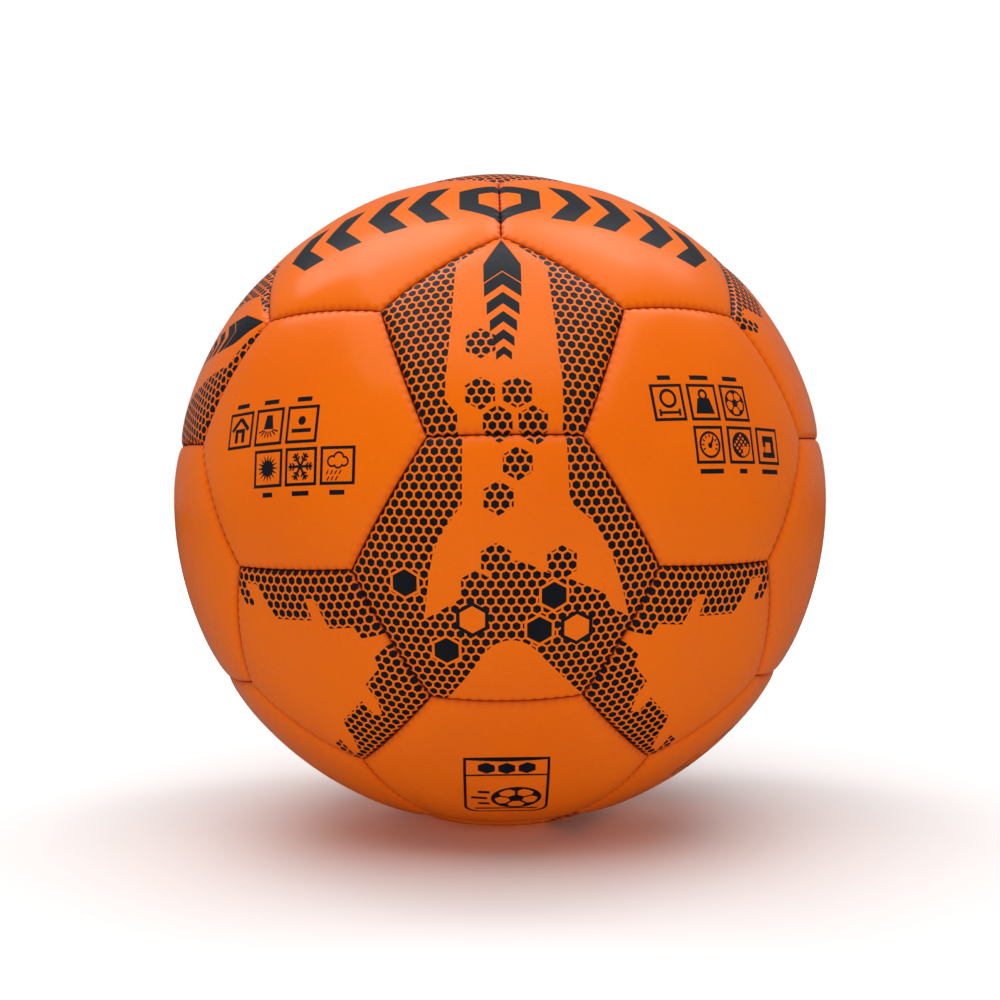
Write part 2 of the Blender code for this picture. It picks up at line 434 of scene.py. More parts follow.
def star_pentagon():
    """Bands of dots down both sides, cells of dots, and a plain arrow with chevrons under it."""
    dots = Dots(-4.3, -1.65)
    left = [(-3.5, 29), (-11.5, 21.5), (-12, 14.5), (-12.5, 4.5), (-14, -11.5), (-14.5, -18),
        (-11.5, -22), (-11.5, -38), (-30, -38), (-45, 12), (-6, 40)]
    right = [(2.5, 30), (11.3, 20.5), (12, 9), (12.6, 2), (13, -4.5), (14, -13), (14.1, -38),
        (30, -38), (45, 12), (5, 40)]
    layers = [(dots, left), (dots, right)]
    layers += cells(dots, ((-5.6, -3.9), (-5.9, -17.0), (3.0, -16.8), (-1.8, -24.2), (6.8, -24.2)))
    layers += ink([(0, 31), (4.7, 20.5), (4.7, 14.0), (0, 18.0), (-4.7, 14.0), (-4.7, 20.5)])
    chevrons = ((9.5, 4.6, 4.2), (4.0, 4.0, 3.6), (-0.8, 3.3, 3.1), (-5.0, 2.6, 2.6), (-8.6, 1.9, 2.1))
    for low, half, thick in chevrons:
        top = low + half * 0.85
        chevron = [(0, top + thick), (half, low + thick), (half, low), (0, top), (-half, low)]
        layers += ink(chevron + [(-half, low + thick)])
    return layers


def centre_hexagon():
    """Dots all over but for a window and an arch, with large filled and open hexagons."""
    dots = Dots(-1.4, 19.55)
    window = [(-10.5, 45), (-10.5, 17.5), (-15, 11), (-17.5, 6), (-18.5, 1), (-20, -11),
        (-10.5, -5), (-3.5, 0.5), (0, 4), (3.5, 4), (9.5, 1), (14.5, -0.5), (24, -5),
        (25.5, -9), (30.3, -11.5), (27.3, -0.7), (25.2, 5.2), (21.5, 12.3), (16.2, 17),
        (15.2, 19.3), (14.9, 45)]
    layers = [(dots, EVERYWHERE)] + clear(window)
    places = ((2.9, 27.1), (-1.8, 18.9), (-2.5, 4.2), (13.2, 3.3), (-7.3, -2.4), (-1.5, 36.2), (7.5, 35.6))
    layers += cells(dots, places)
    arch = [(-19.5, -40), (-17, -36), (-10.8, -27.3)]
    arch += arc(1.0, -23.4, 7.5, 145, 45, 8) + [(9.8, -21.9), (19.3, -33), (19.3, -40)]
    layers += clear(arch)
    opened = ((-8.3, -10.6), (16.9, -13.3))
    filled = ((-24.6, -1.9), (-14.7, -18.9), (11.3, -4.8), (7.8, -13.4))
    layers += ink(*(round_shape(x, y, 4.55, 6) for x, y in opened))
    layers += clear(*(round_shape(x, y, 4.2, 6) for x, y in filled))
    layers += ink(*(round_shape(x, y, 3.45, 6) for x, y in filled))
    return layers + clear(*(round_shape(x, y, 3.5, 6) for x, y in opened))


def toothed_pentagon():
    """Bands of dots along two seams, with slanted teeth towards the middle."""
    top = [(-26, 30), (-21, 22.4), (-17, 17), (-13, 17.2), (-16, 23), (-11.7, 23), (-5.8, 14.4),
        (6, 14.4), (4.8, 20), (7.5, 20), (10.6, 12.2), (17.7, 12.2), (18.9, 9.2), (26, 9.7),
        (40, 12), (22, 40)]
    low = [(40, 9), (24.8, 6.4), (21, 3.8), (21.2, 0.7), (16, -3.7), (17.3, -8.5), (16.9, -13.3),
        (14.5, -13.2), (12.9, -8.7), (4.1, -15.3), (3.6, -24), (2.7, -27.5), (-0.4, -29.1),
        (-1, -22.8), (-4.3, -25.2), (-4.3, -40), (40, -40)]
    return [(Dots(12.3, 13.9), top), (Dots(20.4, -5.2, 36), low)]


def valve_ring():
    """A thin ring printed round the valve."""
    return ring(0, 0, 8.6, 7.9, 64)


# Pictograms, each drawn in a square 8 mm wide round its own middle.


def house():
    roof = strokes([(-3.3, 0.0), (0, 3.1), (3.3, 0.0)], 1.1)
    return roof + ink(box(-2, -3.2, 2, 0.4)) + clear(box(-0.7, -3.3, 0.7, -0.6))


def lamp():
    layers = ink([(-1.0, 3.0), (1.0, 3.0), (1.7, -0.6), (-1.7, -0.6)])
    for degrees in (200, 225, 250, 270, 290, 315, 340):
        turn = math.radians(degrees)
        start = (1.6 * math.cos(turn), -0.6 + 0.6 * math.sin(turn))
        end = (3.6 * math.cos(turn), -0.6 + 2.2 * math.sin(turn))
        layers += ink(stroke(start, end, 0.4))
    return layers


def ball_on_court():
    return ink(round_shape(0, 0.9, 1.15, 20), box(-3.0, -2.1, 3.0, -1.1))


def sun():
    layers = ink(round_shape(0, 0, 2.0, 24))
    for step in range(16):
        turn = math.tau * step / 16
        layers += ink([polar(3.7, turn)] + [polar(1.9, turn + way) for way in (-0.17, 0.17)])
    return layers


def snowflake():
    layers = []
    for degrees in range(0, 360, 60):
        turn = math.radians(degrees)
        layers += ink(stroke((0, 0), polar(3.7, turn), 0.65))
        for out in (1.7, 2.6):
            start = polar(out, turn)
            for way in (-0.9, 0.9):
                layers += ink(stroke(start, polar(1.2, turn + way, *start), 0.5))
    return layers


def cloud():
    puffs = ((-1.4, 1.0, 1.5), (0.4, 1.8, 1.6), (1.9, 0.9, 1.35), (0.3, 0.5, 1.4))
    layers = ink(*(round_shape(x, y, radius, 20) for x, y, radius in puffs))
    layers += clear(*(round_shape(x, y, radius - 0.5, 20) for x, y, radius in puffs))
    for y, drops in ((-1.2, (-2.4, -1.2, 0.0, 1.2)), (-2.7, (-2.2, -1.0, 0.2))):
        layers += ink(*(stroke((x, y), (x - 0.6, y - 1.0), 0.35) for x in drops))
    return layers


def disc_and_ruler():
    layers = ring(0, 1.0, 2.5, 1.7, 28) + strokes([(-2.8, -2.6), (2.8, -2.6)], 0.7)
    return layers + ink(*(stroke((x, -3.5), (x, -1.7), 0.7) for x in (-2.8, 2.8)))


def kettle_weight():
    return ring(0, 1.9, 1.5, 0.8, 20) + ink([(-1.9, 1.0), (1.9, 1.0), (3.0, -3.0), (-3.0, -3.0)])


def panelled_ball():
    layers = ring(0, 0, 3.5, 2.95, 32) + ink(round_shape(0, 0, 1.25, 5))
    patch = [(2.15, 0), (2.75, -0.85), (3.1, -1.2), (3.1, 1.2), (2.75, 0.85)]
    for step in range(5):
        layers += moved(ink(stroke((1.1, 0), (2.3, 0), 0.4), patch), 0, 0, 90 + 72 * step)
    return layers


def gauge():
    layers = ring(0, 0, 3.4, 2.75, 32)
    for degrees in range(-30, 240, 30):
        turn = math.radians(degrees)
        layers += ink(stroke(polar(1.8, turn), polar(2.6, turn), 0.4))
    return layers + ink(stroke((0, -0.4), (1.2, 1.6), 0.6), round_shape(0, -0.2, 0.7, 16))


def swatch():
    """A disc of chequered cloth with one quarter left plain."""
    layers = ink(round_shape(0, 0, 3.3, 32))
    for row in range(-4, 5):
        for column in range(-4, 5):
            x, y = column * 0.8, row * 0.8
            if (row + column) % 2 and math.hypot(x, y) < 2.7:
                layers += clear(round_shape(x, y, 0.46, 4))
    return layers + clear([(0.4, -0.4), (2.9, -0.4)] + arc(0, 0, 2.9, -10, -80, 8) + [(0.4, -2.9)])


def sewing_machine():
    parts = [box(-2.6, -3.0, 2.8, -1.6), box(1.2, -1.7, 2.6, 2.6), box(-2.2, 1.0, 2.6, 2.6)]
    return ink(*parts, box(-2.2, -0.2, -1.0, 1.0), stroke((-1.6, -0.2), (-1.6, -1.7), 0.35))


def framed(drawing, x, y, half, caption, length):
    """A pictogram in its square, with a plain bar of a length where its caption would stand."""
    line, tall, thick = 0.8, 4.75, 0.6
    square = ink(box(-half, -tall, half, tall))
    square += clear(box(line - half, line - tall, half - line, tall - line))
    bar = ink(box(-length / 2, caption - thick, length / 2, caption + thick))
    return moved(square + drawing + bar, x, y)


def sign_rows(half, *rows):
    """Rows of framed signs: the first's place, their spacing, the captions' height, the signs."""
    layers = []
    for x, y, spacing, caption, signs in rows:
        for number, (drawing, length) in enumerate(signs):
            layers += framed(drawing(), x + spacing * number, y, half, caption, length)
    return layers


def play_signs():
    """The left hexagon: where the ball may be played."""
    upper = (-16.6, 2.0, 11.0, 6.4, ((house, 5.0), (lamp, 5.2), (ball_on_court, 4.6)))
    lower = (-5.0, -8.6, 10.8, -6.6, ((sun, 3.4), (snowflake, 5.2), (cloud, 4.2)))
    return moved(sign_rows(4.9, upper, lower), 0, 0, 2.0)


def make_signs():
    """The right hexagon: how the ball is made."""
    upper = (-15.6, 6.8, 10.8, 6.4, ((disc_and_ruler, 3.8), (kettle_weight, 6.0), (panelled_ball, 5.4)))
    lower = (-4.9, -4.0, 10.9, -6.6, ((gauge, 7.6), (swatch, 2.8), (sewing_machine, 7.0)))
    return sign_rows(4.7, upper, lower)


def shield():
    """A plain shield: three hexagons over a rolling ball."""
    outer = [(-11.1, 14.7), (-11.1, -12)] + arc(-7.6, -12, 3.5, 180, 270, 6)
    outer += arc(7.6, -12, 3.5, 270, 360, 6) + [(11.1, 14.7)]
    layers = ink(outer) + clear([(x * 0.935, (y + 0.4) * 0.94 - 0.4) for x, y in outer])
    layers += ink(box(-11, 6.5, 11, 7.3), *(round_shape(x, 10.8, 2.5, 6) for x in (-5.2, 0, 5.2)))
    layers += changed(panelled_ball(), lambda x, y: (x * 1.9 + 2.6, y * 1.9 - 5.0))
    for y, start in ((-1.4, -7.4), (-5.0, -9.2), (-8.6, -7.4)):
        layers += ink(box(start, y - 0.7, -5.0 + 0.05 * (y + 5.0) ** 2, y + 0.7))
    return layers + ink(box(-8.2, -13.3, 8.2, -12.2))


# The row of marks over the top two hexagons: its height on the ball, and the marks' spacing.
ROW_LATITUDE = 58.3
MARK_PITCH = 24.0


def row_marks():
    """An open hexagon in the middle with two pairs of chevrons each way."""
    layers = ring(0, 0, 12.3, 6.4, 6)
    arrow = [(-3, 11), (3.3, 11), (8.6, 0), (3.3, -11), (-3, -11), (2.3, 0)]
    for number in (1, 2):
        for start in (-8.0, 3.2):
            mark = moved(ink(arrow), number * MARK_PITCH + start, 0)
            layers += mark + mirrored(mark)
    return layers


def densified(outline, step):
    """An outline with extra points, so that it can be bent to another chart."""
    points = []
    for start, end in zip(outline, outline[1:] + outline[:1]):
        pieces = max(1, round(math.dist(start, end) / step))
        for piece in range(pieces):
            part = piece / pieces
            points.append([a + (b - a) * part for a, b in zip(start, end)])
    return points


def row_on(panel):
    """The row of marks in one panel's chart."""
    lift = math.radians(ROW_LATITUDE)
    axes = chart_axes(Vector((0, -math.cos(lift), math.sin(lift))))
    layers = []
    for kind, outline in row_marks():
        directions = fold(densified(outline, 2.0)) @ axes @ panel.axes.T
        if directions[:, 2].max() > 0.7:
            layers.append((kind, pairs(unfold(directions))))
    return layers


# The four sets of prints round the ball, each by its centre hexagon and the pentagon with its arrow.
PRINT_SETS = (("11", "02"), ("09", "06"), ("02", "01"), ("18", "09"))


def set_axes(panels, centre, star):
    """Columns right, up and out for a set of prints, with up towards its arrow."""
    out = panels["panel_hexagon_" + centre].axes[2]
    towards = panels["panel_pentagon_" + star].axes[2]
    up = unit(towards - out * (towards @ out))
    return np.column_stack((np.cross(up, out), up, out))


def prints(panels):
    """What is printed on each panel, by name."""
    pattern = {
        "panel_pentagon_02": star_pentagon(),
        "panel_hexagon_11": centre_hexagon(),
        "panel_pentagon_11": toothed_pentagon(),
        "panel_pentagon_07": mirrored(toothed_pentagon()),
    }
    labels = {
        "panel_hexagon_10": play_signs(),
        "panel_hexagon_06": make_signs(),
        "panel_hexagon_16": shield(),
    }
    found = {name: row_on(panels[name]) for name in ("panel_hexagon_05", "panel_hexagon_01")}
    front = set_axes(panels, *PRINT_SETS[0])
    for number, (centre, star) in enumerate(PRINT_SETS):
        carry = set_axes(panels, centre, star) @ front.T
        shown = {**pattern, **labels} if number in (0, 3) else pattern
        for name, layers in shown.items():
            up, out = (carry @ panels[name].axes[row] for row in (1, 2))
            target = max(panels.values(), key=lambda panel: panel.axes[2] @ out)
            turn = math.degrees(math.atan2(-up @ target.axes[0], up @ target.axes[1]))
            found[target.name] = moved(layers, 0, 0, turn)
    return found


# Cover meshes


def skin_triangles(panel, layers, hole):
    """The cover's outer face in the chart: points, triangles and which triangles are ink."""
    outline = pairs(unfold(panel.ring(RADIUS, HALF_GAP, OUTLINE_STEPS)))
    shapes = [outline] + [shape for _, shape in layers]
    if hole:
        shapes.append(round_shape(0, 0, HOLE, HOLE_STEPS))
    for dots in dict.fromkeys(kind for kind, _ in layers if isinstance(kind, Dots)):
        numbers = [number for number, (kind, _) in enumerate(layers) if kind == dots]
        every = dots.outlines()
        flat = every.reshape(-1, 2)
        shown = np.isin(top_layer(flat, layers), numbers) & (panel.depth(fold(flat)).min(1) > 0)
        shapes += [pairs(dot) for dot in every[shown.reshape(-1, 6).any(1)]]
    points, edges = [], []
    for shape in shapes:
        ends = range(len(points), len(points) + len(shape))
        edges += zip(ends, [*ends[1:], ends[0]])
        points += shape
    fixed = np.array(points)
    lattice = honeycomb(SKIN_PITCH, SKIN_PITCH * FLATS, SKIN_REACH)
    lattice = lattice[panel.depth(fold(lattice)).min(1) > SKIN_MARGIN]
    rows = [unfold(panel.ring(RADIUS, HALF_GAP + depth, count)) for depth, count in SKIN_ROWS]
    loose = np.concatenate([lattice, *rows])
    in_dots = np.array([isinstance(kind, Dots) for kind, _ in layers] + [False])[top_layer(loose, layers)]
    far = np.array([np.min(np.hypot(*(fixed - point).T)) for point in loose])
    plain = panel.depth(fold(loose)).min(1) > PLAIN_DEPTH
    keep = (far > CLOSEST) & ~(plain & (in_dots | (far < PLAIN_CLOSEST)))
    rings = []
    if hole:
        keep &= np.hypot(*loose.T) > HOLE + RIM_CLEAR
        rings = [round_shape(0, 0, HOLE + out, HOLE_STEPS) for out in HOLE_RINGS]
    points += pairs(np.concatenate((loose[keep], *rings)))
    made = delaunay_2d_cdt([Vector(point) for point in points], edges, [], 0, 1e-4)
    flat = np.array(pairs(made[0]))
    faces = np.array([face for face in made[2] if len(face) == 3])
    middles = flat[faces].mean(1)
    keep = inside(middles, outline)
    if hole:
        keep &= np.hypot(*middles.T) > HOLE * math.cos(math.pi / HOLE_STEPS)
    faces, middles = faces[keep], middles[keep]
    used, index = np.unique(faces, return_inverse=True)
    return flat[used], index.reshape(-1, 3), is_ink(middles, layers)


def open_loops(faces):
    """The rims of a surface, each as a list of points in order, the longest first."""
    ends = np.concatenate((faces[:, [0, 1]], faces[:, [1, 2]], faces[:, [2, 0]]))
    known = {tuple(pair) for pair in ends}
    following = {a: b for a, b in known if (b, a) not in known}
    loops = []
    while following:
        start = next(iter(following))
        loop = [start]
        at = following.pop(start)
        while at != start:
            loop.append(at)
            at = following.pop(at)
        loops.append(loop)
    return sorted(loops, key=len, reverse=True)


def zip_rings(first, first_at, second, second_at, turns):
    """Triangles between two rings whose points have rising places round from 0 to turns."""
    faces = []
    one = two = 0
    while one < len(first) or two < len(second):
        next_one = first_at[one + 1] if one + 1 < len(first) else turns
        next_two = second_at[two + 1] if two + 1 < len(second) else turns
        a, b = first[one % len(first)], second[two % len(second)]
        if two >= len(second) or (one < len(first) and next_one <= next_two):
            faces.append((a, b, first[(one + 1) % len(first)]))
            one += 1
        else:
            faces.append((a, b, second[(two + 1) % len(second)]))
            two += 1
    return faces


def from_lowest(ring, at):
    """A ring and its places, turned so that the places rise from the lowest."""
    start = int(np.argmin(at))
    order = np.roll(np.arange(len(ring)), -start)
    return [ring[number] for number in order], [float(at[number]) for number in order]


def panel_parts(panel, layers, hole):
    """A whole panel in its own axes: points, triangles, finishes, the skin's chart and normals."""
    flat, faces, dark = skin_triangles(panel, layers, hole)
    points = [panel.surface(flat, hole)]
    triangles = pairs(faces)
    marks = [INK if shown else ORANGE for shown in dark]

    def join(first, second, turns, finish):
        made = zip_rings(*first, *second, turns)
        triangles.extend(made)
        marks.extend([finish] * len(made))

    loops = open_loops(faces)
    ring = from_lowest(loops[0], panel.round_place(fold(flat[loops[0]])))
    total = len(flat)
    sides = len(panel.normals)
    steps_at = [step / WALL_STEPS for step in range(sides * WALL_STEPS)]
    stations = [(radius, depth, ORANGE) for radius, depth in WALL[:HEM]]
    stations += [(radius, depth, CLOTH) for radius, depth in WALL[HEM:]]
    stations += [(LINING, depth, CLOTH) for depth in LINING_DEPTHS]
    for radius, depth, finish in stations:
        points.append(panel.ring(radius, depth, WALL_STEPS) * radius)
        following = list(range(total, total + len(steps_at))), steps_at
        total += len(steps_at)
        join(ring, following, sides, finish)
        ring = following
    if hole:
        rim = np.array(loops[1])[::-1]
        turn = np.arctan2(flat[rim, 1], flat[rim, 0])
        level = np.full(len(turn), math.sqrt(LINING**2 - HOLE**2))
        points.append(np.column_stack((HOLE * np.cos(turn), HOLE * np.sin(turn), level)))
        last = points[-2]
        around = from_lowest(ring[0], np.arctan2(last[:, 1], last[:, 0]) % math.tau)
        low = from_lowest(list(range(total, total + len(rim))), turn % math.tau)
        join(around, low, math.tau, CLOTH)
        join(low, from_lowest(list(rim), turn % math.tau), math.tau, ORANGE)
    else:
        points.append(np.array([[0, 0, LINING]]))
        ring = ring[0]
        triangles += [(a, total, b) for a, b in zip(ring, ring[1:] + ring[:1])]
        marks += [CLOTH] * len(ring)
    return np.concatenate(points), triangles, marks, flat, skin_normals(panel, flat, hole)


def skin_normals(panel, flat, hole):
    """The cover's own normals, from its formula."""
    sides = []
    for shift in np.eye(2) * SLOPE_STEP:
        sides.append(panel.surface(flat + shift, hole) - panel.surface(flat - shift, hole))
    return unit(np.cross(*sides))


def new_object(name, data):
    made = bpy.data.objects.new(name, data)
    bpy.context.scene.collection.objects.link(made)
    return made


def make_object(name, points, faces, materials, marks=()):
    """A smooth mesh object from points in metres. The marks say which material each face has."""
    mesh = bpy.data.meshes.new(name)
    mesh.from_pydata(pairs(points), [], [tuple(map(int, face)) for face in faces])
    for finish in materials:
        mesh.materials.append(finish)
    mesh.polygons.foreach_set("material_index", list(marks) or [0] * len(faces))
    mesh.polygons.foreach_set("use_smooth", [True] * len(faces))
    return new_object(name, mesh)


def stand_in(piece, node, body="ball"):
    """Hides the CAD node that a piece replaces, and hangs the piece on the body that it rides on."""
    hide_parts(node)
    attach(piece, body)


def add_panel(panel, layers, hole, materials, known):
    """Makes one panel's piece. Panels alike in outline and print share their computed points."""
    key = (str(layers), hole, tuple(np.round(panel.corners, 4).ravel()))
    if key not in known:
        known[key] = panel_parts(panel, layers, hole)
    points, triangles, marks, flat, normals = known[key]
    name = "cover_" + panel.name.removeprefix("panel_")
    piece = make_object(name, points @ panel.axes * MM, triangles, materials, marks)
    mesh = piece.data
    mesh.set_sharp_from_angle(angle=math.radians(50))
    every = np.zeros((len(points), 3))
    every[: len(flat)] = normals @ panel.axes
    mesh.normals_split_custom_set_from_vertices(pairs(every))
    # Painted shade along the seams and at the stitches, kept on the points for the cover's colour.
    shade = np.ones(len(points), np.float32)
    shade[: len(flat)] = panel.painted_seam_shade(fold(flat))
    seam = mesh.attributes.new("painted_seam_shade", "FLOAT", "POINT")
    seam.data.foreach_set("value", shade)
    stand_in(piece, panel.name)


# Materials


def new_material(name, colour, roughness, specular=0.5):
    """A Principled material, its tree and its shader."""
    made = bpy.data.materials.new(name)
    made.use_nodes = True
    shader = made.node_tree.nodes["Principled BSDF"]
    shader.inputs["Base Color"].default_value = (*colour, 1.0)
    shader.inputs["Roughness"].default_value = roughness
    shader.inputs["Specular IOR Level"].default_value = specular
    return made, made.node_tree, shader


def add_node(tree, kind, values=(), **settings):
    """A node with some of its inputs and settings filled in."""
    node = tree.nodes.new("ShaderNode" + kind)
    for key, value in settings.items():
        setattr(node, key, value)
    for key, value in dict(values).items():
        node.inputs[key].default_value = value
    return node


def feed(node, name, value):
    """Joins an output to one of a node's inputs."""
    node.id_data.links.new(value, node.inputs[name])


def noise(tree, scale, detail=3.0, roughness=0.5):
    """Noise over the piece, at a scale in patches to a metre."""
    where = tree.nodes.get("place") or add_node(tree, "TexCoord", name="place")
    values = {"Scale": scale, "Detail": detail, "Roughness": roughness}
    node = add_node(tree, "TexNoise", values)
    feed(node, "Vector", where.outputs["Object"])
    return node.outputs["Fac"]


def ranged(value, low, high, start=0.3, end=0.7):
    """A texture's value spread over a range."""
    values = {"From Min": start, "From Max": end, "To Min": low, "To Max": high}
    node = add_node(value.id_data, "MapRange", values, interpolation_type="SMOOTHSTEP")
    feed(node, "Value", value)
    return node.outputs["Result"]


def mixed(factor, first, second):
    """A blend of two colours, each a colour or the output of another node."""
    node = add_node(factor.id_data, "Mix", data_type="RGBA")
    feed(node, "Factor", factor)
    for key, colour in (("A", first), ("B", second)):
        socket = next(s for s in node.inputs if s.name == key and s.type == "RGBA")
        if isinstance(colour, tuple):
            socket.default_value = (*colour, 1.0)
        else:
            node.id_data.links.new(colour, socket)
    return next(s for s in node.outputs if s.type == "RGBA")


def bump(shader, height, strength, distance):
    """Fine relief, added over any that the shader already has."""
    node = add_node(shader.id_data, "Bump", {"Strength": strength, "Distance": distance})
    feed(node, "Height", height)
    if shader.inputs["Normal"].links:
        feed(node, "Normal", shader.inputs["Normal"].links[0].from_socket)
    feed(shader, "Normal", node.outputs["Normal"])


def grain(shader, strength):
    """The fine pebble of moulded synthetic leather."""
    tree = shader.id_data
    cells = add_node(tree, "TexVoronoi", {"Scale": 1500.0}, feature="SMOOTH_F1")
    feed(cells, "Vector", tree.nodes["place"].outputs["Object"])
    bump(shader, cells.outputs["Distance"], strength, 0.00006)
    bump(shader, noise(tree, 900.0, 2.0), strength, 0.00005)


def orange_cover():
    made, tree, shader = new_material("cover_orange", (0.87, 0.152, 0.001), 0.26, 0.15)
    patches = mixed(ranged(noise(tree, 22.0), 0, 1), (0.87, 0.152, 0.001), (0.83, 0.136, 0.001))
    spots = ranged(noise(tree, 1400.0, 2.0), 0, 0.2, 0.55, 0.8)
    specks = mixed(spots, patches, (0.60, 0.08, 0.001))
    # Painted shade: the cover darkens to deep red towards each seam and to near black in the seam,
    # reaching further at each stitch.
    seam = add_node(tree, "Attribute", attribute_name="painted_seam_shade").outputs["Fac"]
    edge = mixed(ranged(seam, 0, 0.45, 0.05, 0.9), specks, (0.6, 0.045, 0.001))
    colour_with_painted_shade = mixed(ranged(seam, 0, 0.75, 0.65, 1.0), edge, (0.16, 0.009, 0.002))
    feed(shader, "Base Color", colour_with_painted_shade)
    feed(shader, "Roughness", ranged(noise(tree, 45.0, 4.0), 0.2, 0.32))
    grain(shader, 0.1)
    bump(shader, noise(tree, 38.0, 1.0), 0.6, 0.0015)
    return made


def printed_ink():
    made, tree, shader = new_material("print_ink", (0.006, 0.008, 0.012), 0.4, 0.12)
    shade = ranged(noise(tree, 60.0), 0, 1)
    patches = mixed(shade, (0.0055, 0.0075, 0.011), (0.0075, 0.010, 0.0145))
    spots = ranged(noise(tree, 2200.0, 2.0), 0, 0.3, 0.62, 0.8)
    specks = mixed(spots, patches, (0.02, 0.02, 0.02))
    feed(shader, "Base Color", specks)
    feed(shader, "Roughness", ranged(noise(tree, 500.0, 4.0), 0.32, 0.45))
    grain(shader, 0.12)
    return made


def woven_cloth(name, light, dark, threads):
    """Plain weave, with a number of threads to a metre."""
    made, tree, shader = new_material(name, light, 0.9, 0.2)
    patches = ranged(noise(tree, 300.0, 4.0), 0, 0.5)
    where = tree.nodes["place"].outputs["Object"]
    heights = []
    values = {"Scale": threads / 20, "Distortion": 0.4}
    for axis in ("X", "Y"):
        wave = add_node(tree, "TexWave", values, bands_direction=axis)
        feed(wave, "Vector", where)
        heights.append(wave.outputs["Fac"])
        bump(shader, heights[-1], 0.5, 0.0002)
    weave = mixed(heights[0], light, dark)
    feed(shader, "Base Color", mixed(patches, weave, light))
    return made


def rubber(name, colour, roughness, fine):
    """Moulded rubber: a faint bloom over a dark base, and a fine tooth."""
    made, tree, shader = new_material(name, colour, roughness, 0.4)
    lighter = tuple(min(1.0, 1.8 * part + 0.01) for part in colour)
    bloom = ranged(noise(tree, 90.0, 5.0, 0.6), 0, 0.6, 0.45, 0.75)
    feed(shader, "Base Color", mixed(bloom, colour, lighter))
    spread = ranged(noise(tree, 200.0, 3.0), roughness - 0.06, roughness + 0.1)
    feed(shader, "Roughness", spread)
    bump(shader, noise(tree, fine, 4.0, 0.6), 0.25, 0.00008)
    return made


def waxed_thread():
    made, tree, shader = new_material("waxed_thread", (0.05, 0.025, 0.015), 0.6, 0.3)
    fibres = ranged(noise(tree, 2500.0, 3.0), 0, 1)
    feed(shader, "Base Color", mixed(fibres, (0.035, 0.018, 0.012), (0.10, 0.05, 0.03)))
    bump(shader, noise(tree, 3500.0, 2.0), 0.4, 0.0001)
    return made


# Sewing thread, bladder and valve


def tube(path, radius, sides, points, faces):
    """Adds a closed tube along a path of points."""
    path = np.asarray(path)
    ahead = unit(np.gradient(path, axis=0))
    aside = unit(np.cross(ahead, path))
    out = np.cross(aside, ahead)
    first = len(points)
    turns = [math.tau * step / sides for step in range(sides)]
    for place, one, other in zip(path, aside, out):
        points.extend(place + radius * (math.cos(turn) * one + math.sin(turn) * other) for turn in turns)
    for row in range(len(path) - 1):
        for step in range(sides):
            a = first + row * sides + step
            b = first + row * sides + (step + 1) % sides
            faces.append((a, a + sides, b + sides, b))
    faces.append([first + step for step in range(sides)])
    faces.append([len(points) - 1 - step for step in range(sides)])


def stitched_seam(start, end, points, faces):
    """One seam's thread: it runs under the edges and rises between them at each stitch."""
    angle = start.angle(end)
    pitch = RADIUS * angle / STITCHES
    count = STITCHES * STEPS_PER_STITCH
    path = []
    for step in range(1, count):
        part = step / count
        turn = part * STITCHES * math.tau
        lift = (0.5 - 0.5 * math.cos(turn)) ** 2
        slide = math.sin(turn) * 0.1 * pitch / (RADIUS * angle)
        out = start.slerp(end, min(max(part + slide, 0.0), 1.0))
        path.append(out * (THREAD_LEVEL + THREAD_RISE * lift))
    tube(path, THREAD_RADIUS, 6, points, faces)


def add_threads(corners, panels, finish):
    """The three runs of thread: one for each half, and the closing run round the middle."""
    seams = {"first_half": [], "closing": [], "second_half": []}
    for start, end in combinations(corners, 2):
        if start.angle(end) < SEAM_ANGLE:
            middle = np.array((start + end).normalized())
            near = sorted(panels.values(), key=lambda panel: -panel.axes[2] @ middle)
            upper = sum(panel.axes[2][2] > 0 for panel in near[:2])
            seams[("second_half", "closing", "first_half")[upper]].append((start, end))
    for run, ends in seams.items():
        points, faces = [], []
        for start, end in ends:
            stitched_seam(start, end, points, faces)
        piece = make_object("stitching_" + run, np.array(points) * MM, faces, [finish])
        stand_in(piece, "seam_thread_" + run)


def lathe(name, profile, axis, steps, finish):
    """Turns a closed outline, given as (out from the axis, along the axis), into a solid."""
    turn = Vector((0, 0, 1)).rotation_difference(axis).to_matrix()
    points, faces, rows = [], [], []
    for out, along in profile:
        count = steps if out else 1
        rows.append(range(len(points), len(points) + count))
        for step in range(count):
            points.append(turn @ Vector((*polar(out, math.tau * step / steps), along)) * MM)
    for low, high in zip(rows, rows[1:] + rows[:1]):
        for step in range(steps if len(low) + len(high) > 2 else 0):
            after = (step + 1) % steps
            ends = ((low, step), (low, after), (high, after), (high, step))
            faces.append(tuple(dict.fromkeys(row[at % len(row)] for row, at in ends)))
    piece = make_object(name, points, faces, [finish])
    piece.data.set_sharp_from_angle(angle=math.radians(40))
    return piece


def rounded(outline, radius, steps=4):
    """An outline with each of its corners eased by up to a radius."""
    found = []
    count = len(outline)
    for number in range(count):
        before, here, after = (Vector(outline[(number + way) % count]) for way in (-1, 0, 1))
        reach = min(radius, (before - here).length * 0.45, (after - here).length * 0.45)
        start = here + (before - here).normalized() * reach
        end = here + (after - here).normalized() * reach
        for step in range(steps + 1):
            part = step / steps
            point = start * (1 - part) ** 2 + here * 2 * part * (1 - part) + end * part**2
            found.append((point.x, point.y))
    return found


def on_sphere(radius, out):
    return (out, math.sqrt(radius**2 - out**2))


